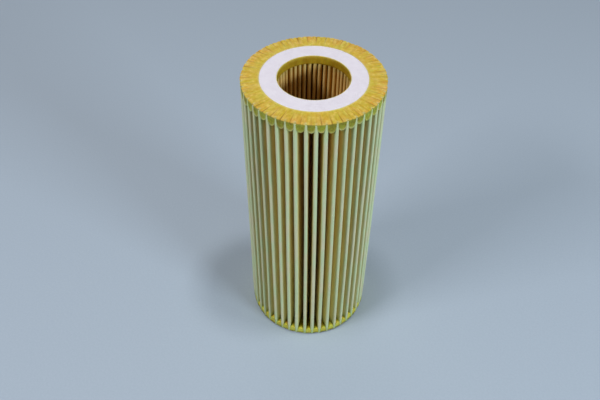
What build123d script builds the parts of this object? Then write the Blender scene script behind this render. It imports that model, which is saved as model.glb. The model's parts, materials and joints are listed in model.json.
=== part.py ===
from build123d import *
import os
from math import asin, atan2, cos, degrees, sin

# Cartridge oil filter element. A strip of filter paper is folded into a star of pleats around an
# open bore, and its two raw ends are glued together in one pleat. At each end the pleats stand in a
# cast ring of adhesive, which closes the gaps between them, and a felt ring lies on that adhesive.
# The adhesive rises between the pleats in rounded fingers. Both ends are alike, so the element can
# go into its housing either way up. Millimetres, +Z along the bore, and the origin at the centre of
# the bottom end, where the element stands.

# Driving dimensions
OUTER_DIAMETER = 64.0
BORE_DIAMETER = 32.0
TOTAL_HEIGHT = 152.5
PLEAT_COUNT = 46
PAPER_THICKNESS = 0.65
OUTER_FOLD_WIDTH = 1.7
INNER_FOLD_WIDTH = 1.5
INNER_FOLD_CLEARANCE = 0.4  # from the adhesive's bore to the pleats' inner folds

FELT_OUTER_DIAMETER = 47.6
FELT_BORE_DIAMETER = 32.6
FELT_THICKNESS = 0.6
FELT_STANDS_PROUD = 0.1

DISC_DEPTH = 4.4  # of the adhesive inside the paper, from its flat face
FINGER_REACH = 5.4  # from the same face to the ends of the fingers outside the paper
FACE_LAYER = 0.7  # adhesive over the paper's ends
FINGER_SET_BACK = 0.15  # of the fingers' outer faces from the pleat tips
FINGER_END_RADIUS = 1.7

RAW_END_SET_BACK = 0.4  # of the paper's raw ends from the outer diameter
SEAM_BEAD_DEPTH = 8.0

# Worked out from the driving dimensions
PITCH = 360 / PLEAT_COUNT
SEAM_ANGLE = 90 + PITCH / 2  # the pleat that holds the paper's two raw ends, at the back
OUTER_RADIUS = OUTER_DIAMETER / 2
BORE_RADIUS = BORE_DIAMETER / 2
HALF_PAPER = PAPER_THICKNESS / 2
OUTER_FOLD_RADIUS = OUTER_FOLD_WIDTH / 2 - HALF_PAPER  # of the paper's middle line
INNER_FOLD_RADIUS = INNER_FOLD_WIDTH / 2 - HALF_PAPER
OUTER_FOLD_CENTRE = OUTER_RADIUS - OUTER_FOLD_WIDTH / 2
INNER_FOLD_CENTRE = BORE_RADIUS + INNER_FOLD_CLEARANCE + INNER_FOLD_WIDTH / 2

DISC_FACE_Z = FELT_STANDS_PROUD  # the bottom disc's flat face
PAPER_START_Z = DISC_FACE_Z + FACE_LAYER
PAPER_HEIGHT = TOTAL_HEIGHT - 2 * PAPER_START_Z
LINING_HEIGHT = DISC_DEPTH - FACE_LAYER
FINGER_HEIGHT = FINGER_REACH - FACE_LAYER
MIDDLE = Plane.XY.offset(TOTAL_HEIGHT / 2)


def turned(point, pleat):
    """The point, turned from the pleat at zero degrees to a numbered pleat, counted from the seam."""
    return point.rotate(Axis.Z, SEAM_ANGLE + pleat * PITCH)


def flipped(point):
    """The point on the other side of its pleat's middle plane."""
    return Vector(point.X, -point.Y)


def one_panel():
    """The fold centres at a panel's ends, and its direction and normal, for the pleat at zero degrees.

    The panel's middle line touches the outer fold on one side and the inner fold on the other.
    """
    outer_centre = Vector(OUTER_FOLD_CENTRE, 0)
    inner_centre = Vector(INNER_FOLD_CENTRE, 0).rotate(Axis.Z, PITCH / 2)
    between = inner_centre - outer_centre
    lean = asin((OUTER_FOLD_RADIUS + INNER_FOLD_RADIUS) / between.length)
    along = between.normalized()
    across = Vector(along.Y, -along.X)
    normal = along * sin(lean) + across * cos(lean)
    return outer_centre, inner_centre, Vector(-normal.Y, normal.X), normal


OUTER_CENTRE, INNER_CENTRE, PANEL_DIRECTION, PANEL_NORMAL = one_panel()


def paper_surface(offset):
    """The edges of one surface of the paper, from raw end to raw end.

    The offset is plus half the paper's thickness outside, and minus half of it inside.
    """
    panel_top = OUTER_CENTRE + PANEL_NORMAL * (OUTER_FOLD_RADIUS + offset)
    panel_foot = INNER_CENTRE - PANEL_NORMAL * (INNER_FOLD_RADIUS - offset)
    tip = Vector(OUTER_FOLD_CENTRE + OUTER_FOLD_RADIUS + offset, 0)
    root = Vector(INNER_FOLD_CENTRE - INNER_FOLD_RADIUS + offset, 0).rotate(Axis.Z, PITCH / 2)
    past_the_fold = PANEL_DIRECTION * (OUTER_FOLD_WIDTH / 2 - RAW_END_SET_BACK)
    raw_end = panel_top + past_the_fold
    edges = []
    for pleat in range(PLEAT_COUNT):
        following = pleat + 1
        fall_from = turned(raw_end if pleat == 0 else panel_top, pleat)
        fall_to = turned(panel_foot, pleat)
        rise_from = turned(flipped(panel_foot), following)
        last = following == PLEAT_COUNT
        rise_to = turned(flipped(raw_end if last else panel_top), following)
        edges.append(Line(fall_from, fall_to))
        edges.append(ThreePointArc(fall_to, turned(root, pleat), rise_from))
        edges.append(Line(rise_from, rise_to))
        if not last:
            next_top = turned(panel_top, following)
            edges.append(ThreePointArc(rise_to, turned(tip, following), next_top))
    return edges


def paper_profile():
    """The folded paper seen along the bore: one open strip, closed across its two raw ends."""
    outside = paper_surface(HALF_PAPER)
    inside = paper_surface(-HALF_PAPER)
    first_end = Line(outside[0] @ 0, inside[0] @ 0)
    last_end = Line(outside[-1] @ 1, inside[-1] @ 1)
    return make_face(outside + inside + [first_end, last_end])


def seam_bead_profile(paper):
    """Hot-melt bead that fills the seam pleat's outer part and covers the paper's raw ends."""
    radial = Rectangle(SEAM_BEAD_DEPTH, OUTER_FOLD_WIDTH, align=(Align.MAX, Align.CENTER))
    outer_edges = radial.vertices().sort_by(Axis.X)[-2:]
    head = fillet(outer_edges, OUTER_FOLD_WIDTH / 4)
    strip = Rot(0, 0, SEAM_ANGLE) * Pos(OUTER_RADIUS, 0) * head
    return strip - paper


def annulus(outer_diameter, inner_diameter):
    return Circle(outer_diameter / 2) - Circle(inner_diameter / 2)


def finger(valley):
    """The adhesive in one valley between two pleats: a column with a rounded end."""
    straight = FINGER_HEIGHT - FINGER_END_RADIUS
    sides = Rectangle(2 * FINGER_END_RADIUS, straight, align=(Align.CENTER, Align.MIN))
    outline = sides + Pos(0, straight) * Circle(FINGER_END_RADIUS)
    angle = degrees(atan2(valley.center().Y, valley.center().X))
    rounded_bar = Rot(0, 0, angle) * extrude(Plane.YZ * outline, OUTER_RADIUS)
    return extrude(valley, FINGER_HEIGHT) & rounded_bar


def bottom_end_disc(paper, bead):
    """The adhesive: a face layer with the felt's seat in it, and what rises from it around the paper.

    Inside the paper it lines the bore and fills the pleats. Outside it ends in a finger in each valley.
    """
    face_layer = extrude(annulus(OUTER_DIAMETER, BORE_DIAMETER), FACE_LAYER)
    around_the_paper = annulus(OUTER_DIAMETER - 2 * FINGER_SET_BACK, BORE_DIAMETER) - paper - bead
    lining, *valleys = around_the_paper.faces().sort_by(SortBy.AREA, reverse=True)
    risers = [extrude(lining, LINING_HEIGHT)] + [finger(valley) for valley in valleys]
    disc = Pos(0, 0, DISC_FACE_Z) * face_layer + [Pos(0, 0, PAPER_START_Z) * riser for riser in risers]
    return disc - felt_ring()


def felt_ring():
    return extrude(annulus(FELT_OUTER_DIAMETER, FELT_BORE_DIAMETER), FELT_THICKNESS)


def main():
    paper = paper_profile()
    bead = seam_bead_profile(paper)
    bottom_disc = bottom_end_disc(paper, bead)
    bottom_felt = felt_ring()
    parts = {
        "pleated_media": Pos(0, 0, PAPER_START_Z) * extrude(paper, PAPER_HEIGHT),
        "seam_bead": Pos(0, 0, PAPER_START_Z) * extrude(bead, PAPER_HEIGHT),
        "bottom_end_disc": bottom_disc,
        "top_end_disc": mirror(bottom_disc, MIDDLE),
        "bottom_felt_ring": bottom_felt,
        "top_felt_ring": mirror(bottom_felt, MIDDLE),
    }
    os.makedirs("parts", exist_ok=True)
    for name, part in parts.items():
        export_step(part, f"parts/{name}.step")


main()
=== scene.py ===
"""Looks for a cartridge oil filter element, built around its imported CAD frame.

The element is a star of pleated filter paper, cast at each end into a disc of amber adhesive that
carries a white felt ring. Every CAD node is replaced by a piece of the same size with the detail
that the real one shows: pleats that wander a little, adhesive that stands between them in uneven
fingers and creases over them, and felt with an uneven face.
All lengths are in metres, in the frame's own axes: +Z up the bore, and the pleats round it.
"""

import json
import math
from typing import NamedTuple

import bpy
import numpy as np
from mathutils import Matrix, Vector


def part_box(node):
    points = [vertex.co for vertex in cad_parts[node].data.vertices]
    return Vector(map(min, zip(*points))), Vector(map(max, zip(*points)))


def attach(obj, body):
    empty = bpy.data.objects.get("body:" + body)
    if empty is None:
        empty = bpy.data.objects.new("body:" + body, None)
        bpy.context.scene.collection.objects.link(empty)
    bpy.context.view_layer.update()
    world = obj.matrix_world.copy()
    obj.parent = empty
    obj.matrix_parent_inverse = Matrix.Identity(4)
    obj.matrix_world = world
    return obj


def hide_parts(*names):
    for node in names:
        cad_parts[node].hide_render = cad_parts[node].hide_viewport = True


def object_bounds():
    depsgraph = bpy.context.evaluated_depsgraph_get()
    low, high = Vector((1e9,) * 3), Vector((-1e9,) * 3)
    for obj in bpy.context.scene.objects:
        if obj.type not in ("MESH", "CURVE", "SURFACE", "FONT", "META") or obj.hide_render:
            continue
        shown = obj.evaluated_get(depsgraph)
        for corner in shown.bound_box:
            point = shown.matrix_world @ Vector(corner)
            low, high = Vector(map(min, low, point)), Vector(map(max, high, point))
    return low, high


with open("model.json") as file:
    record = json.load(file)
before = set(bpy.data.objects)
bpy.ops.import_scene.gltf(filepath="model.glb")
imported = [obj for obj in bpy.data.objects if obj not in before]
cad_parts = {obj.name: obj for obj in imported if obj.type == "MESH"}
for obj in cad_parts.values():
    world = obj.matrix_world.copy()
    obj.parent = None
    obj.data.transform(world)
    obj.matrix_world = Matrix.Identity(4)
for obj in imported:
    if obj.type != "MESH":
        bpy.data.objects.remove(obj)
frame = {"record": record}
cad_low, cad_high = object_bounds()

MM = 0.001
SEED = 11

# Sizes read from the frame
BORE = frame["record"]["mounts"][0]["dims"]
BORE_R = BORE["r_mm"] * MM
LINING_DEPTH = BORE["length_mm"] * MM
OUTER_R = cad_high.x
TOTAL_HEIGHT = cad_high.z
PAPER_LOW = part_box("pleated_media")[0].z
PAPER_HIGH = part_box("pleated_media")[1].z
DISC_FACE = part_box("bottom_end_disc")[0].z
FINGER_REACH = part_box("bottom_end_disc")[1].z - DISC_FACE
FELT_OUTER_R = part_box("bottom_felt_ring")[1].x
FELT_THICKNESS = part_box("bottom_felt_ring")[1].z

# The paper
PLEATS = 46
PITCH = math.tau / PLEATS
SEAM_ANGLE = math.radians(90) + PITCH / 2  # of the pleat that holds the strip's two raw ends
PAPER_THICKNESS = 0.65 * MM
TIP_FOLD_R = 0.525 * MM  # of the paper's middle line
ROOT_FOLD_R = 0.400 * MM
ROOT_FOLD_CENTRE = BORE_R + 0.4 * MM + ROOT_FOLD_R + PAPER_THICKNESS / 2
ROWS = 76  # of mesh points up the paper
TIP_FOLD_STEPS = 10
ROOT_FOLD_STEPS = 8
PANEL_STEPS = 7

# How far the pleats stray from a regular star
TIP_LEAN = math.radians(0.30)
TIP_DRIFT = math.radians(0.22)
ROOT_LEAN = math.radians(0.35)
ROOT_DRIFT = math.radians(0.30)
LOW_TWIST = 1.1  # degrees, of the whole star at its lower end
TWIST_CHANGE = 2.1  # degrees, from there to its upper end
BELLY = 0.44 * MM  # of the tips past the outer radius, at the lower end
GRIP = 0.27 * MM  # how far the adhesive pulls that belly back in
GRIP_HEIGHT = 5 * MM
LARGEST_SAG = 0.25 * MM
LARGEST_SWELL = 0.5 * MM
PANEL_BOW = 0.16 * MM

# The paper's "fold" attribute: 1 in the middle of a tip fold, -1 in the middle of a root fold, and
# these at the folds' edges
TIP_EDGE = 0.8
ROOT_EDGE = -0.7

# The adhesive and the felt
SLICES = 28  # of the discs, from one pleat to the next
FACE_DIP = 0.05 * MM  # of the adhesive's face below the CAD's
CREASE_DEPTH = 0.20 * MM
LIP = 0.35 * MM  # radius of the fingers' ends
FELT_INNER_R = BORE_R + 0.3 * MM
FELT_SINK = FELT_THICKNESS - DISC_FACE


# ---------------------------------------------------------------- helpers

def wander(rng, count, height_share, size, waves=3):
    """A slow random wobble for each of count things, along shares 0 to 1 of the height: (rows, count)."""
    wobble = np.zeros((len(height_share), count))
    for wave in range(1, waves + 1):
        swing = rng.normal(0, size / wave, count)
        phase = rng.uniform(0, math.tau, count)
        wobble += swing * np.sin(math.pi * wave * height_share[:, None] + phase)
    return wobble


def ring_noise(rng, angles, size, waves):
    """A random wobble round a full circle, which meets itself."""
    wobble = np.zeros_like(angles)
    for wave in waves:
        wobble += rng.normal(0, size) * np.sin(wave * angles + rng.uniform(0, math.tau))
    return wobble


def smooth(low, high, x):
    """0 below low, 1 above high, and an S curve between them. Low may be the larger one."""
    t = np.clip((x - low) / (high - low), 0, 1)
    return t * t * (3 - 2 * t)


def polar(radius, angle):
    """The x and y of points at distances from the element's axis, in directions round it."""
    return np.stack([radius * np.cos(angle), radius * np.sin(angle)], -1)


def quads(rows, columns, wrap_rows=False, wrap_columns=False):
    """The faces of a grid of vertices, which are numbered along each row in turn."""
    down = np.arange(rows if wrap_rows else rows - 1)[:, None]
    across = np.arange(columns if wrap_columns else columns - 1)[None, :]
    below = (down + 1) % rows
    beside = (across + 1) % columns
    corners = (down * columns + across, down * columns + beside,
               below * columns + beside, below * columns + across)
    return np.stack([np.broadcast_to(c, (down.size, across.size)) for c in corners], -1).reshape(-1, 4)


def mesh_object(name, points, faces, values, material, sharp_angle, caps=()):
    """A mesh piece from points, four-sided faces, larger end caps and named numbers per point."""
    mesh = bpy.data.meshes.new(name)
    mesh.from_pydata(points.reshape(-1, 3).tolist(), [], faces.tolist() + list(caps))
    mesh.validate()
    for key, numbers in values.items():
        attribute = mesh.attributes.new(key, "FLOAT", "POINT")
        attribute.data.foreach_set("value", numbers.astype(np.float32).ravel())
    mesh.shade_smooth()
    mesh.set_sharp_from_angle(angle=math.radians(sharp_angle))
    mesh.materials.append(material)
    piece = bpy.data.objects.new(name, mesh)
    bpy.context.scene.collection.objects.link(piece)
    return piece


# ---------------------------------------------------------------- materials

class Nodes:
    """A material with a Principled shader, and short ways to add nodes to it."""

    def __init__(self, name):
        self.material = bpy.data.materials.new(name)
        self.material.use_nodes = True
        self.tree = self.material.node_tree
        self.shader = self.tree.nodes["Principled BSDF"]

    def add(self, kind, inputs, **settings):
        node = self.tree.nodes.new(kind)
        for key, value in settings.items():
            setattr(node, key, value)
        for key, value in inputs.items():
            self.put(node.inputs[key], value)
        return node

    def put(self, socket, value):
        if isinstance(value, bpy.types.NodeSocket):
            self.tree.links.new(value, socket)
        else:
            socket.default_value = value

    def attribute(self, name, times=1):
        """A named number of the mesh, or so many times that number."""
        value = self.add("ShaderNodeAttribute", {}, attribute_name=name).outputs["Fac"]
        return value if times == 1 else self.math("MULTIPLY", value, times)

    def position(self, scale=(1, 1, 1)):
        where = self.add("ShaderNodeTexCoord", {}).outputs["Object"]
        return self.add("ShaderNodeMapping", {"Vector": where, "Scale": scale}).outputs["Vector"]

    def noise(self, where, scale, detail, roughness):
        inputs = {"Vector": where, "Scale": scale, "Detail": detail, "Roughness": roughness}
        return self.add("ShaderNodeTexNoise", inputs).outputs["Fac"]

    def math(self, operation, a, b):
        return self.add("ShaderNodeMath", {0: a, 1: b}, operation=operation).outputs[0]

    def spread(self, value, low, high, to_low=0.0, to_high=1.0):
        """The value from low to high, stretched to run from to_low to to_high."""
        inputs = {"Value": value, "From Min": low, "From Max": high, "To Min": to_low, "To Max": to_high}
        return self.add("ShaderNodeMapRange", inputs).outputs["Result"]

    def mix(self, share, a, b, blend="MIX"):
        """From a to b by a share. The node's colour sockets have no names of their own, only numbers."""
        inputs = {"Factor": share, 6: a, 7: b}
        return self.add("ShaderNodeMix", inputs, data_type="RGBA", blend_type=blend).outputs[2]

    def blend(self, value, low, high, a, b):
        """From a, where the value is low, to b, where it is high."""
        return self.mix(self.spread(value, low, high), a, b)

    def bump(self, height, distance, strength):
        inputs = {"Height": height, "Distance": distance, "Strength": strength}
        return self.add("ShaderNodeBump", inputs).outputs["Normal"]

    def finish(self, **sockets):
        for name, value in sockets.items():
            self.put(self.shader.inputs[name.replace("_", " ")], value)
        return self.material


def paper_material():
    """Resin-treated filter paper: brown walls, darker into the valleys by painted shade and paler low down
    by painted floor light, and pale green tips where the fibres opened at the fold.
    """
    n = Nodes("filter_paper")
    fold = n.attribute("fold")
    fibres = n.noise(n.position((1, 1, 0.35)), 2600, 4, 0.65)
    clouds = n.noise(n.position(), 110, 3, 0.6)
    blotches = n.noise(n.position((1, 1, 0.25)), 300, 2, 0.5)

    # The walls turn from the shallow colour to the deep one towards the valley floors: painted shade over
    # the paper's own brown.
    deep = n.blend(clouds, 0.35, 0.65, (0.74, 0.30, 0.040, 1), (0.82, 0.36, 0.058, 1))
    shallow = n.blend(clouds, 0.35, 0.65, (0.80, 0.61, 0.21, 1), (0.85, 0.67, 0.26, 1))
    shoulder = n.blend(blotches, 0.42, 0.68, (0.60, 0.62, 0.30, 1), (0.66, 0.58, 0.28, 1))
    tip = n.blend(blotches, 0.42, 0.62, (0.67, 0.79, 0.485, 1), (0.76, 0.74, 0.49, 1))
    wall = n.blend(fold, -0.3, 0.6, deep, shallow)
    wall = n.blend(fold, 0.64, 0.80, wall, shoulder)
    # Paler and greener towards the bottom: painted light from the floor on the lower paper.
    wall = n.mix(n.attribute("low", 0.6), wall, (0.86, 0.85, 0.42, 1))
    # Darker olive beside the cast ends: adhesive soaked into the paper, with painted shade where the
    # fingers meet it.
    wall = n.mix(n.attribute("glue_and_shade", 0.65), wall, (0.36, 0.40, 0.04, 1))
    outside = n.blend(fold, 0.80, 0.88, wall, tip)

    root = n.blend(blotches, 0.35, 0.65, (0.84, 0.55, 0.17, 1), (0.91, 0.64, 0.24, 1))
    inner_wall = n.blend(clouds, 0.35, 0.65, (0.70, 0.40, 0.075, 1), (0.78, 0.46, 0.095, 1))
    inside = n.blend(fold, -0.94, -0.76, root, inner_wall)

    colour = n.mix(n.attribute("inside"), outside, inside)
    colour = n.mix(n.spread(fibres, 0.35, 0.8, 0.0, 0.35), colour, (0.84, 0.84, 0.62, 1), "MULTIPLY")
    colour = n.mix(n.attribute("glue_and_shade", 0.25), colour, (0.60, 0.74, 0.24, 1))
    # The lowest few millimetres darker and yellower: the adhesive's wetting, with painted shade near the
    # floor.
    colour = n.mix(n.attribute("wet_and_shade"), colour, (0.42, 0.55, 0.20, 1))
    return n.finish(Base_Color=colour, Roughness=n.spread(fibres, 0.3, 0.7, 0.78, 0.95),
                    Specular_IOR_Level=0.2, Normal=n.bump(fibres, 0.09 * MM, 0.8))


def adhesive_material(name, skirt_dark, skirt_light, glow):
    """Cast amber adhesive: a streaked face with creases darkened by painted shade, and fingers of another
    colour.
    """
    n = Nodes(name)
    where = n.position()
    round_and_out = {"X": n.attribute("turn"), "Y": n.attribute("reach", 130.0)}
    streak_place = n.add("ShaderNodeCombineXYZ", round_and_out).outputs["Vector"]
    streaks = n.noise(streak_place, 2.4, 5, 0.65)
    patches = n.noise(streak_place, 0.8, 3, 0.55)
    mottle = n.noise(where, 520, 3, 0.6)
    clouds = n.noise(where, 130, 3, 0.6)
    grain = n.noise(where, 1800, 4, 0.6)
    lumps = n.noise(where, 1000, 2, 0.6)

    inner = n.blend(clouds, 0.38, 0.64, (0.68, 0.45, 0.028, 1), (0.64, 0.51, 0.045, 1))
    outer = n.mix(n.attribute("tone"), (0.62, 0.47, 0.028, 1), (0.72, 0.38, 0.045, 1))
    face = n.mix(n.attribute("outward"), inner, outer)
    face = n.mix(n.spread(patches, 0.50, 0.66, 0.0, 0.6), face, (0.73, 0.50, 0.14, 1))
    face = n.mix(n.spread(patches, 0.48, 0.34, 0.0, 0.6), face, (0.60, 0.55, 0.09, 1))
    face = n.mix(n.spread(mottle, 0.52, 0.68, 0.0, 0.85), face, (0.80, 0.61, 0.12, 1))
    face = n.mix(n.spread(mottle, 0.48, 0.34, 0.0, 0.75), face, (0.58, 0.37, 0.025, 1))
    face = n.mix(n.spread(streaks, 0.52, 0.70, 0.0, 0.65), face, (0.79, 0.57, 0.16, 1))
    face = n.mix(n.spread(streaks, 0.48, 0.31, 0.0, 0.65), face, (0.50, 0.33, 0.020, 1))
    # Creases darkened with painted shade.
    face = n.mix(n.attribute("crease", 0.85), face, (0.40, 0.20, 0.022, 1))
    face = n.mix(n.attribute("meniscus"), face, (0.80, 0.70, 0.26, 1))
    face = n.mix(n.attribute("thin"), face, (0.70, 0.70, 0.36, 1))

    bore_clouds = n.noise(n.position((1, 1, 0.5)), 420, 4, 0.6)
    bore = n.blend(bore_clouds, 0.35, 0.65, (0.42, 0.25, 0.010, 1), (0.58, 0.39, 0.018, 1))
    face = n.mix(n.attribute("bore"), face, bore)

    shade = n.math("ADD", n.attribute("finger", 0.5), n.math("MULTIPLY", lumps, 1.6))
    skirt = n.blend(shade, 0.6, 1.5, skirt_dark, skirt_light)
    skirt = n.mix(n.attribute("lip"), skirt, (0.66, 0.61, 0.22, 1))
    colour = n.mix(n.attribute("side"), face, skirt)
    # Painted shade on the rounded lower corner of the bottom disc, beside the floor.
    colour = n.mix(n.attribute("foot_shade"), colour, (0.20, 0.22, 0.04, 1))
    height = n.math("ADD", n.math("MULTIPLY", streaks, 0.7), n.math("MULTIPLY", grain, 0.3))
    return n.finish(Base_Color=colour, Roughness=n.spread(grain, 0.3, 0.7, 0.42, 0.6),
                    Normal=n.bump(height, 0.14 * MM, 0.8), Subsurface_Weight=glow,
                    Subsurface_Scale=2.5 * MM, Specular_IOR_Level=0.28)


def felt_material():
    """White non-woven felt: a mat of fine fibres, a little cloudy, with a faint cool cast."""
    n = Nodes("felt")
    where = n.position()
    warp = n.add("ShaderNodeTexNoise", {"Vector": where, "Scale": 700.0, "Detail": 2.0}).outputs["Color"]
    bent = n.mix(0.0012, where, warp, "ADD")
    cells = n.add("ShaderNodeTexVoronoi", {"Vector": bent, "Scale": 1500.0}, feature="DISTANCE_TO_EDGE")
    fibres = n.spread(cells.outputs["Distance"], 0.0, 0.25, 1.0, 0.0)
    fuzz = n.noise(where, 3200, 5, 0.7)
    clouds = n.noise(where, 260, 3, 0.6)
    base = n.blend(clouds, 0.35, 0.65, (0.81, 0.755, 0.84, 1), (0.86, 0.81, 0.89, 1))
    colour = n.mix(n.spread(fuzz, 0.35, 0.7, 0.0, 0.3), base, (0.92, 0.91, 0.93, 1))
    height = n.math("ADD", n.math("MULTIPLY", fibres, 0.5), fuzz)
    return n.finish(Base_Color=colour, Roughness=0.95, Normal=n.bump(height, 0.10 * MM, 0.8),
                    Sheen_Weight=0.25, Sheen_Roughness=0.5, Specular_IOR_Level=0.15)


def seam_material():
    """Hot-melt bead: smooth pale amber that lets a little light in, with a wavy skin."""
    n = Nodes("seam_adhesive")
    where = n.position((1, 1, 0.4))
    clouds = n.noise(where, 300, 3, 0.5)
    ripple = n.noise(where, 900, 3, 0.5)
    colour = n.blend(clouds, 0.35, 0.65, (0.62, 0.50, 0.20, 1), (0.74, 0.64, 0.34, 1))
    return n.finish(Base_Color=colour, Roughness=n.spread(ripple, 0.3, 0.7, 0.22, 0.4),
                    Normal=n.bump(ripple, 0.08 * MM, 0.6), Subsurface_Weight=0.2,
                    Subsurface_Scale=1.0 * MM, Coat_Weight=0.2)


def floor_material():
    """Pale matt studio paper with a faint tooth."""
    n = Nodes("studio_floor")
    tooth = n.noise(n.position(), 900, 3, 0.6)
    colour = n.blend(tooth, 0.3, 0.7, (0.42, 0.50, 0.59, 1), (0.45, 0.53, 0.62, 1))
    return n.finish(Base_Color=colour, Roughness=0.9, Specular_IOR_Level=0.1,
                    Normal=n.bump(tooth, 0.1 * MM, 0.3))


# ---------------------------------------------------------------- the paper

class Star:
    """Where every pleat's folds lie, row by row up the paper. Arrays are (rows, pleats)."""

    def __init__(self, rng):
        self.z = np.linspace(PAPER_LOW, PAPER_HIGH, ROWS)
        self.share = (self.z - PAPER_LOW) / (PAPER_HIGH - PAPER_LOW)
        pleat = np.arange(PLEATS)

        def drift(size):
            return wander(rng, PLEATS, self.share, size)

        # The whole star was turned a little as its ends were cast, most of it in the upper half.
        twist = np.radians(LOW_TWIST - TWIST_CHANGE * self.share ** 1.6)[:, None]
        tip_lean = rng.normal(0, TIP_LEAN, PLEATS)
        self.tip_angle = SEAM_ANGLE + pleat * PITCH + twist + tip_lean + drift(TIP_DRIFT)
        root_lean = rng.normal(0, ROOT_LEAN, PLEATS)
        self.root_angle = SEAM_ANGLE + (pleat + 0.5) * PITCH + twist + root_lean + drift(ROOT_DRIFT)
        self.tip_fold = TIP_FOLD_R + rng.normal(0, 0.035 * MM, PLEATS) + drift(0.02 * MM)
        root_fold = ROOT_FOLD_R + np.abs(rng.normal(0, 0.04 * MM, PLEATS))
        self.root_fold = np.broadcast_to(root_fold, (ROWS, PLEATS))
        # The pleats belly out towards the bottom, where the adhesive grips them back in.
        grip = GRIP * np.exp(-((self.z - PAPER_LOW) / GRIP_HEIGHT) ** 2)
        belly = (BELLY * (1 - self.share) - grip)[:, None]
        sag = np.minimum(np.abs(drift(0.08 * MM)), LARGEST_SAG)
        self.tip_reach = OUTER_R - PAPER_THICKNESS / 2 - self.tip_fold - sag + belly
        swell = np.minimum(np.abs(drift(0.16 * MM)), LARGEST_SWELL)
        self.root_reach = ROOT_FOLD_CENTRE + swell
        self.fall_bow = drift(PANEL_BOW)
        self.rise_bow = drift(PANEL_BOW)

    def tips(self, row):
        """The pleats' angles at a row, and the seam pleat's again one turn on."""
        angles = self.tip_angle[row]
        return np.append(angles, angles[0] + math.tau)


def panel(tip_centre, root_centre, tip_fold, root_fold, side):
    """The unit normal of the panels that join tip folds to root folds, facing the valley between them.

    A panel's middle line touches its tip fold on one side and its root fold on the other. Side is 1
    for the panels that fall into the valley as the angle grows, and -1 for those that rise out of it.
    """
    between = root_centre - tip_centre
    length = np.linalg.norm(between, axis=-1, keepdims=True)
    along = between / length
    across = side * np.stack([along[..., 1], -along[..., 0]], -1)
    lean = np.arcsin((tip_fold + root_fold) / length)
    return along * np.sin(lean) + across * np.cos(lean)


def turn_to(normal, angle):
    """How far a normal is turned from the direction at an angle, from -pi to pi."""
    difference = np.arctan2(normal[..., 1], normal[..., 0]) - angle
    return (difference + math.pi) % math.tau - math.pi


def strip_lines(star):
    """The paper's middle line at every row: its points, its normals and its fold attribute.

    It runs from one raw end, in the seam pleat, round all the pleats to the other raw end.
    """
    following = np.roll(np.arange(PLEATS), -1)
    tip_fold, root_fold = star.tip_fold[..., None], star.root_fold[..., None]
    next_fold = tip_fold[:, following]
    tip_centre = polar(star.tip_reach, star.tip_angle)
    next_centre = tip_centre[:, following]
    root_centre = polar(star.root_reach, star.root_angle)
    fall = panel(tip_centre, root_centre, tip_fold, root_fold, 1)
    rise = panel(next_centre, root_centre, next_fold, root_fold, -1)
    fall_top, fall_foot = tip_centre + fall * tip_fold, root_centre - fall * root_fold
    rise_top, rise_foot = next_centre + rise * next_fold, root_centre - rise * root_fold
    past_the_fold = polar(TIP_FOLD_R, star.tip_angle[:, 0])  # where the raw ends stop
    points, normals, folds = [], [], []

    def add(point, normal, fold):
        points.append(point)
        normals.append(normal)
        folds.append(fold)

    def add_panel(start, end, normal, bow, fold_from, fold_to):
        for step in range(1, PANEL_STEPS):
            share = step / PANEL_STEPS
            bulge = normal * bow[:, None] * math.sin(math.pi * share)
            add(start + (end - start) * share + bulge, normal, fold_from + (fold_to - fold_from) * share)

    def add_fold(centre, radius, facing, first, last, steps, side, edge):
        """An arc about a fold's centre, from its first direction to its last.

        Side is 1 at a tip and -1 at a root, and edge is the fold attribute at the arc's two ends.
        """
        turn_from = turn_to(first, facing)
        turn_until = turn_to(last, facing)
        for step in range(steps + 1):
            share = step / steps
            direction = polar(1.0, facing + turn_from + (turn_until - turn_from) * share)
            fold = edge + (side - edge) * math.sin(math.pi * share)
            add(centre + direction * radius, side * direction, fold)

    add(fall_top[:, 0] + past_the_fold, fall[:, 0], 1)
    for k, after in enumerate(following):
        add_panel(fall_top[:, k], fall_foot[:, k], fall[:, k], star.fall_bow[:, k], TIP_EDGE, ROOT_EDGE)
        add_fold(root_centre[:, k], root_fold[:, k], star.root_angle[:, k] + math.pi,
                 -fall[:, k], -rise[:, k], ROOT_FOLD_STEPS, -1, ROOT_EDGE)
        add_panel(rise_foot[:, k], rise_top[:, k], rise[:, k], star.rise_bow[:, k], ROOT_EDGE, TIP_EDGE)
        if after != 0:
            add_fold(tip_centre[:, after], tip_fold[:, after], star.tip_angle[:, after],
                     rise[:, k], fall[:, after], TIP_FOLD_STEPS, 1, TIP_EDGE)
    add(rise_top[:, -1] + past_the_fold, rise[:, -1], 1)
    return np.stack(points, 1), np.stack(normals, 1), np.array(folds)


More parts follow.
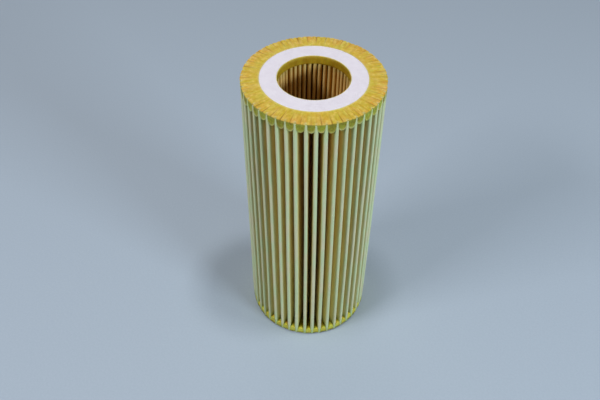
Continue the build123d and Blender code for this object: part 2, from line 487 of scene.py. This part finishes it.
def make_paper(star, material):
    """The strip's outer and inner surfaces, closed along its long edges and its two raw ends.

    Its attributes tell the material where adhesive soaks the walls, with painted shade beside the fingers;
    where it wets the lower tips, with painted shade near the floor; how low a point is, for painted floor
    light on the lower paper; and which surface it is on.
    """
    middle, normal, fold = strip_lines(star)
    rows, columns = middle.shape[:2]
    count = rows * columns
    z = np.broadcast_to(star.z[:, None, None], (rows, columns, 1))
    surfaces = [np.concatenate([middle + side * normal * PAPER_THICKNESS / 2, z], -1) for side in (1, -1)]
    grid = quads(rows, columns)
    number = np.arange(count).reshape(rows, columns)

    def rim(edge):
        """The faces that join the two surfaces along one edge of the strip."""
        return np.stack([edge[:-1], edge[:-1] + count, edge[1:] + count, edge[1:]], -1)

    rims = [rim(number[0]), rim(number[-1, ::-1]), rim(number[::-1, 0]), rim(number[:, -1])]
    faces = np.concatenate([grid, grid[:, ::-1] + count, *rims])
    from_end = np.minimum(star.z - PAPER_LOW, PAPER_HIGH - star.z)
    by_row = {
        "glue_and_shade": smooth(FINGER_REACH + 1.6 * MM, FINGER_REACH - 0.6 * MM, from_end),
        "wet_and_shade": 0.65 * smooth(4.6 * MM, 1.2 * MM, star.z - PAPER_LOW),
        "low": 1 - star.share,
    }
    both_surfaces = (2, rows, columns)
    values = {key: np.broadcast_to(numbers[:, None], both_surfaces) for key, numbers in by_row.items()}
    values["fold"] = np.broadcast_to(fold, both_surfaces)
    values["inside"] = np.repeat([0, 1], count)
    return mesh_object("filter_paper_star", np.stack(surfaces), faces, values, material, 40)


def make_seam_bead(star, rng, material):
    """The bead between the seam pleat's two panels: it widens inwards with them, and its head is domed."""
    reach = np.linspace(OUTER_R - 8 * MM, OUTER_R - 0.1 * MM, 9)
    half_width = np.interp(reach, [reach[0], reach[-3]], [0.75 * MM, 0.56 * MM])
    half_width[0] *= 0.35
    half_width[-2:] = [0.62 * MM, 0.32 * MM]
    out = np.concatenate([reach, reach[::-1]])
    sideways = np.concatenate([half_width, -half_width[::-1]])
    ripple = wander(rng, 1, star.share, 0.07 * MM, 9) * smooth(OUTER_R - 1.5 * MM, OUTER_R, out)
    out = out + np.minimum(ripple, 0.1 * MM)
    cos, sin = np.cos(star.tip_angle[:, :1]), np.sin(star.tip_angle[:, :1])
    z = np.broadcast_to(star.z[:, None], out.shape)
    points = np.stack([out * cos - sideways * sin, out * sin + sideways * cos, z], -1)
    rows, columns = out.shape
    number = np.arange(rows * columns).reshape(rows, columns)
    caps = [number[0].tolist(), number[-1, ::-1].tolist()]
    faces = quads(rows, columns, wrap_columns=True)[:, ::-1]
    return mesh_object("seam_hot_melt", points, faces, {}, material, 50, caps)


# ---------------------------------------------------------------- the adhesive ends

class CastShape(NamedTuple):
    """What differs between the two cast ends."""

    bare_tip: float  # share of the pitch on each side of a pleat's tip that the fingers leave bare
    squareness: float  # power that shapes the fingers' outline, and is lower for squarer ones
    set_back: float  # of the fingers from the outer radius
    rim_set_back: float
    rim_limit: float  # the rim's largest reach
    corner: float  # radius of the rim's edge
    tip_dent: float  # how far the rim draws back over each tip
    tip_droop: float  # how far it sinks there
    skirt_from: float  # depths where the face's colour turns into the fingers'
    skirt_to: float
    lip: float  # strengths of the pale lip, of the thin adhesive over the tips and of the painted shade at the foot
    thin: float
    foot_shade: float


TOP_SHAPE = CastShape(
    bare_tip=0.09, squareness=0.32, set_back=0.10 * MM, rim_set_back=0.03 * MM, rim_limit=OUTER_R,
    corner=0.25 * MM, tip_dent=0.42 * MM, tip_droop=0.30 * MM, skirt_from=0.25 * MM,
    skirt_to=0.9 * MM, lip=1, thin=0.6, foot_shade=0)
BOTTOM_SHAPE = CastShape(
    bare_tip=0.15, squareness=0.22, set_back=-0.02 * MM, rim_set_back=-0.02 * MM,
    rim_limit=OUTER_R + 0.05 * MM, corner=1.1 * MM, tip_dent=0, tip_droop=0, skirt_from=0.8 * MM,
    skirt_to=1.2 * MM, lip=0, thin=0, foot_shade=0.85)


class Cast:
    """One cast end. Its slices follow the pleats, so that a finger stands in each valley.

    Depths are measured from the disc's flat face into the element. Arrays hold a number per slice.
    """

    def __init__(self, shape, tips, rng):
        self.shape = shape
        share = (np.arange(SLICES) / SLICES)[None, :]
        self.angle = (tips[:-1, None] + (tips[1:] - tips[:-1])[:, None] * share).ravel()
        self.share = np.broadcast_to(share, (PLEATS, SLICES)).ravel()
        self.valley = np.repeat(np.arange(PLEATS), SLICES)
        across = (self.share - 0.5) / (0.5 - shape.bare_tip)  # -1 and 1 at the paper
        self.in_valley = np.clip(1 - across ** 2, 0, 1)
        self.crease = self.crease_lines(rng)
        self.shoulder = max(PAPER_LOW - DISC_FACE, shape.corner) + 0.07 * MM  # where the rim ends
        shallowest = self.shoulder + 0.23 * MM
        reach = FINGER_REACH - np.abs(rng.normal(0.15 * MM, 0.30 * MM, PLEATS))[self.valley]
        self.depth = shallowest + (reach - shallowest) * self.in_valley ** shape.squareness
        self.wall = OUTER_R - shape.set_back - np.abs(rng.normal(0, 0.04 * MM, PLEATS))[self.valley]
        near_tip = np.exp(-(np.minimum(self.share, 1 - self.share) / 0.11) ** 2)
        self.over_tip = near_tip * rng.uniform(0.6, 1.2, PLEATS)[self.valley]
        rim = OUTER_R - shape.rim_set_back - 0.16 * MM * self.crease - shape.tip_dent * self.over_tip
        self.rim = np.minimum(rim + ring_noise(rng, self.angle, 0.02 * MM, range(3, 40)), shape.rim_limit)

    def crease_lines(self, rng):
        """Where the adhesive shrank: a deep crease along each valley, and a finer one over some tips."""
        crease = np.zeros_like(self.share)
        for place, width, size in ((0.5, 0.060, 0.9), (0.0, 0.035, 0.3)):
            middle = place + rng.normal(0, 0.03, PLEATS)[self.valley]
            away = np.abs(self.share - middle)
            away = np.minimum(away, 1 - away)
            strength = np.clip(rng.normal(size, 0.3, PLEATS), 0.0, 1.3)[self.valley]
            crease += strength * np.exp(-(away / width) ** 2)
        return crease

    def over_the_face(self, rng):
        """From the felt out to the rim, with the creases pressed in deeper and deeper."""
        ruffle = ring_noise(rng, self.angle, 0.012 * MM, range(20, 150, 3))
        start = FELT_OUTER_R + 0.35 * MM
        end = OUTER_R - self.shape.set_back - self.shape.corner - 0.1 * MM
        for step in np.linspace(0, 1, 15):
            relief = CREASE_DEPTH * self.crease * smooth(0.15, 1.0, step)
            yield start + (end - start) * step, FACE_DIP + relief + ruffle * step

    def down_the_rim(self):
        """Round the rim's edge, which draws back and sinks over the tips, to the tops of the fingers."""
        corner = self.shape.corner
        drop = corner + self.shape.tip_droop * self.over_tip
        for turn in np.linspace(0, math.pi / 2, 6)[1:]:
            relief = CREASE_DEPTH * self.crease * math.cos(turn)
            yield self.rim - corner * (1 - math.sin(turn)), FACE_DIP + drop * (1 - math.cos(turn)) + relief
        yield np.minimum(self.rim, self.wall), self.shoulder

    def down_the_fingers(self):
        """Down the fingers' slightly hollow faces, and round their ends."""
        straight = self.depth - LIP - self.shoulder
        for step in np.linspace(0, 1, 8)[1:]:
            hollow = 0.32 * MM * math.sin(math.pi * step ** 0.8) * self.in_valley
            yield self.wall - hollow, self.shoulder + straight * step
        for turn in np.linspace(0, math.pi / 2, 5)[1:]:
            yield self.wall - LIP * (1 - math.cos(turn)), self.depth - LIP * (1 - math.sin(turn))

    def round_the_lining(self, rng):
        """Back under the adhesive to the bore, and up the bore's wall."""
        lining = LINING_DEPTH - 0.1 * MM
        start, end = OUTER_R - self.shape.set_back - 0.9 * MM, BORE_R + 0.45 * MM
        for step in np.linspace(0, 1, 10):
            settle = smooth(0, 0.8, step)
            yield start + (end - start) * step, self.depth + (lining - self.depth) * settle
        yield BORE_R + 0.15 * MM, lining + 0.05 * MM
        yield BORE_R, lining - 0.15 * MM
        wave = ring_noise(rng, self.angle, 0.015 * MM, range(5, 60, 2))
        for step in np.linspace(0, 1, 6)[1:]:
            rise = (lining - 0.35 * MM) * step
            yield BORE_R + np.maximum(wave * (1 - step), 0), lining - 0.15 * MM - rise
        yield BORE_R + 0.06 * MM, 0.06 * MM
        yield BORE_R + 0.18 * MM, 0.0

    def over_the_seat(self):
        """Under the felt, and up over the ridge of adhesive round its edge."""
        yield FELT_INNER_R - 0.01 * MM, 0.05 * MM
        yield FELT_INNER_R, FELT_SINK
        yield (FELT_INNER_R + FELT_OUTER_R) / 2, FELT_SINK
        yield FELT_OUTER_R, FELT_SINK
        yield FELT_OUTER_R + 0.02 * MM, -0.07 * MM
        yield FELT_OUTER_R + 0.15 * MM, -0.08 * MM

    def outline(self, rng):
        """The radii and the depths of the outline's points, as arrays of (slices, outline points).

        The outline runs once round the cast end's section. Each stretch of it yields the radius and the
        depth of one point after another.
        """
        stretches = (self.over_the_face(rng), self.down_the_rim(), self.down_the_fingers(),
                     self.round_the_lining(rng), self.over_the_seat())
        points = [point for stretch in stretches for point in stretch]
        columns = [[np.broadcast_to(part, self.angle.shape) for part in point] for point in points]
        return np.stack([radius for radius, _ in columns], 1), np.stack([depth for _, depth in columns], 1)

    def attributes(self, radius, depth, rng):
        """Numbers from 0 to 1 that tell the material where each of its shades goes, the painted shade of
        the creases and of the lower corner among them.

        "turn" and "reach" are a point's place in the streaks instead, round the face and out over it.
        """
        shape = self.shape
        outside = smooth(OUTER_R - 1.6 * MM, OUTER_R - 1.0 * MM, radius)
        near_the_end = smooth(1.3 * MM, 0.2 * MM, self.depth[:, None] - depth)
        finger_end = near_the_end * smooth(1.5 * MM, 2.5 * MM, depth)
        # Where the painted shade of the lower corner goes.
        foot_shade = smooth(0.1 * MM, 0.5 * MM, depth) * smooth(2.3 * MM, 1.2 * MM, depth)
        rim_out = smooth(OUTER_R - 1.6 * MM, OUTER_R - 0.5 * MM, radius)
        by_the_felt = smooth(FELT_OUTER_R + 0.5 * MM, FELT_OUTER_R + 0.2 * MM, radius)
        crease_out = 0.1 + 0.9 * smooth(FELT_OUTER_R + 1 * MM, OUTER_R - 1 * MM, radius)
        lip_tone = np.clip(rng.normal(0.8, 0.25, PLEATS), 0.2, 1.0)
        finger_tone = rng.uniform(0, 1, PLEATS)
        tip_tone = rng.uniform(0, 1, PLEATS + 1)
        tip_tone[-1] = tip_tone[0]
        tone = np.where(self.share < 0.5, tip_tone[self.valley], tip_tone[self.valley + 1])
        return {
            "crease": self.crease[:, None] * crease_out,
            "foot_shade": shape.foot_shade * foot_shade * outside,
            "side": smooth(shape.skirt_from, shape.skirt_to, depth) * outside,
            "lip": shape.lip * finger_end * outside * lip_tone[self.valley][:, None],
            "meniscus": 0.7 * by_the_felt * (depth < 0.12 * MM),
            "bore": smooth(0.3 * MM, 1.5 * MM, depth) * (1 - outside),
            "thin": shape.thin * self.over_tip[:, None] * rim_out,
            "outward": smooth(FELT_OUTER_R + 1.0 * MM, OUTER_R - 1.5 * MM, radius),
            "turn": np.broadcast_to(self.angle[:, None] * PLEATS / 5, radius.shape),
            "reach": radius,
            "tone": np.broadcast_to(tone[:, None], radius.shape),
            "finger": np.broadcast_to(finger_tone[self.valley][:, None], radius.shape),
        }


def end_ring(name, radius, angle, depth, face_height, top, values, material):
    """A closed ring from its slices' outlines, at the top or at the bottom of the element.

    Depths are measured from a face that lies face_height inside the element's end.
    """
    faces = quads(*radius.shape, wrap_rows=True, wrap_columns=True)
    turn = np.broadcast_to(angle[:, None], radius.shape)
    z = TOTAL_HEIGHT - face_height - depth if top else face_height + depth
    points = np.concatenate([polar(radius, turn), z[..., None]], -1)
    return mesh_object(name, points, faces if top else faces[:, ::-1], values, material, 60)


def end_disc(name, tips, top, rng, material):
    """A cast end. At the top the adhesive draws back and droops over the pleats' tips.

    At the bottom it has a rounder edge and is level with them.
    """
    cast = Cast(TOP_SHAPE if top else BOTTOM_SHAPE, tips, rng)
    radius, depth = cast.outline(rng)
    values = cast.attributes(radius, depth, rng)
    return end_ring(name, radius, cast.angle, depth, DISC_FACE, top, values, material)


def felt_ring(name, top, rng, material):
    """A felt ring with soft edges and an uneven face, lying in its seat."""
    slices = 360
    angle = np.arange(slices) / slices * math.tau
    inner, outer = FELT_INNER_R + 0.02 * MM, FELT_OUTER_R - 0.02 * MM
    back, face = FELT_THICKNESS - 0.02 * MM, 0.03 * MM
    edge = 0.14 * MM
    turns = np.linspace(0, math.pi / 2, 5)
    inset, drop = edge * (1 - np.cos(turns)), edge * (1 - np.sin(turns))
    across = np.linspace(inner + edge, outer - edge, 16)[1:-1]
    inner_edge = [(inner + i, face + d) for i, d in zip(inset, drop)]
    outer_edge = [(outer - i, face + d) for i, d in zip(inset[::-1], drop[::-1])]
    shown = inner_edge + [(r, face) for r in across] + outer_edge
    outline = np.array(shown + [(outer, back), ((inner + outer) / 2, back), (inner, back)])
    radius = np.tile(outline[:, 0], (slices, 1))
    depth = np.tile(outline[:, 1], (slices, 1))
    for column in range(len(shown)):
        depth[:, column] += np.abs(ring_noise(rng, angle, 0.006 * MM, range(7, 120, 4)))
        if outline[column, 1] > face:
            radius[:, column] += ring_noise(rng, angle, 0.008 * MM, range(5, 90, 3))
    return end_ring(name, radius, angle, depth, 0, top, {}, material)


# ---------------------------------------------------------------- the camera, floor and light

def make_camera():
    """The photograph's view: from in front and high above, turned and rolled by a degree."""
    back, height = 7.395 * OUTER_R, 10.078 * OUTER_R + DISC_FACE
    pitch, yaw, roll = 0.8069, -0.0232, 0.0097
    forward = Vector((math.sin(yaw) * math.cos(pitch), math.cos(yaw) * math.cos(pitch), -math.sin(pitch)))
    right = forward.cross(Vector((0, 0, 1))).normalized()
    up = right.cross(forward)
    rolled_right = right * math.cos(roll) + up * math.sin(roll)
    rolled_up = up * math.cos(roll) - right * math.sin(roll)
    data = bpy.data.cameras.new("camera")
    data.sensor_width = 36
    data.lens = 39.87
    data.clip_start, data.clip_end = 0.01, 20
    camera = bpy.data.objects.new("camera", data)
    axes = Matrix((rolled_right, rolled_up, -forward)).transposed()
    camera.matrix_world = Matrix.Translation((0, -back, height)) @ axes.to_4x4()
    bpy.context.scene.collection.objects.link(camera)
    bpy.context.scene.camera = camera


def make_floor(material):
    """A square of studio paper, a hair below the element."""
    half, z = 6.0, -0.02 * MM
    corners = np.array([(-half, -half, z), (half, -half, z), (half, half, z), (-half, half, z)])
    floor = mesh_object("floor", corners, np.array([[0, 1, 2, 3]]), {}, material, 60)


def soft_light(name, azimuth, elevation, distance, size, power, colour=(1, 1, 1)):
    """A soft box that faces the element's middle, from a direction in degrees."""
    data = bpy.data.lights.new(name, "AREA")
    data.shape = "RECTANGLE"
    data.size, data.size_y = size
    data.energy = power
    data.color = colour
    turn, lift = math.radians(azimuth), math.radians(elevation)
    towards = Vector((math.cos(lift) * math.cos(turn), math.cos(lift) * math.sin(turn), math.sin(lift)))
    light = bpy.data.objects.new(name, data)
    light.location = Vector((0, 0, TOTAL_HEIGHT / 2)) + towards * distance
    light.rotation_mode = "QUATERNION"
    light.rotation_quaternion = towards.to_track_quat("Z", "Y")
    bpy.context.scene.collection.objects.link(light)


def make_light():
    """Two lamps almost overhead, a window on each side in front, and a wide faint light behind."""
    soft_light("right_overhead", -7, 78.7, 1.88, (0.22, 0.22), 8.85)
    soft_light("left_overhead", -158, 84.7, 1.85, (0.22, 0.22), 6.9)
    soft_light("left_window", -150, 40.3, 1.05, (0.35, 0.15), 4.0, (0.97, 0.95, 0.97))
    soft_light("right_window", -40, 22.3, 1.05, (0.32, 0.15), 4.85, (0.90, 1.0, 1.08))
    soft_light("back_fill", 100, 14, 2.5, (1.6, 1.0), 9.0)
    world = bpy.data.worlds.new("studio")
    world.use_nodes = True
    background = world.node_tree.nodes["Background"]
    background.inputs["Color"].default_value = (0.90, 0.95, 1.0, 1)
    background.inputs["Strength"].default_value = 0.03
    bpy.context.scene.world = world
    bpy.context.scene.view_settings.view_transform = "Standard"


# ---------------------------------------------------------------- assembly

def stand_for(piece, node):
    """Fixes a piece to the element, in place of its CAD node."""
    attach(piece, "root")
    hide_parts(node)
    return piece


def main():
    make_camera()
    rng = np.random.default_rng(SEED)
    star = Star(rng)
    felt_look = felt_material()
    bottom_look = adhesive_material("bottom_adhesive", (0.68, 0.60, 0.05, 1), (0.74, 0.70, 0.09, 1), 0.25)
    # The top end's fingers face down: their darker, greener colours, against the bottom end's of the same
    # adhesive, are painted shade.
    top_look = adhesive_material("top_adhesive", (0.25, 0.20, 0.010, 1), (0.48, 0.54, 0.040, 1), 0.12)
    paper = stand_for(make_paper(star, paper_material()), "pleated_media")
    stand_for(make_seam_bead(star, rng, seam_material()), "seam_bead")
    for end, top, row, look in (("bottom", False, 0, bottom_look), ("top", True, -1, top_look)):
        disc = end_disc(f"{end}_cast_adhesive", star.tips(row), top, rng, look)
        stand_for(disc, f"{end}_end_disc")
        felt = stand_for(felt_ring(f"{end}_felt", top, rng, felt_look), f"{end}_felt_ring")
    make_floor(floor_material())
    make_light()


main()
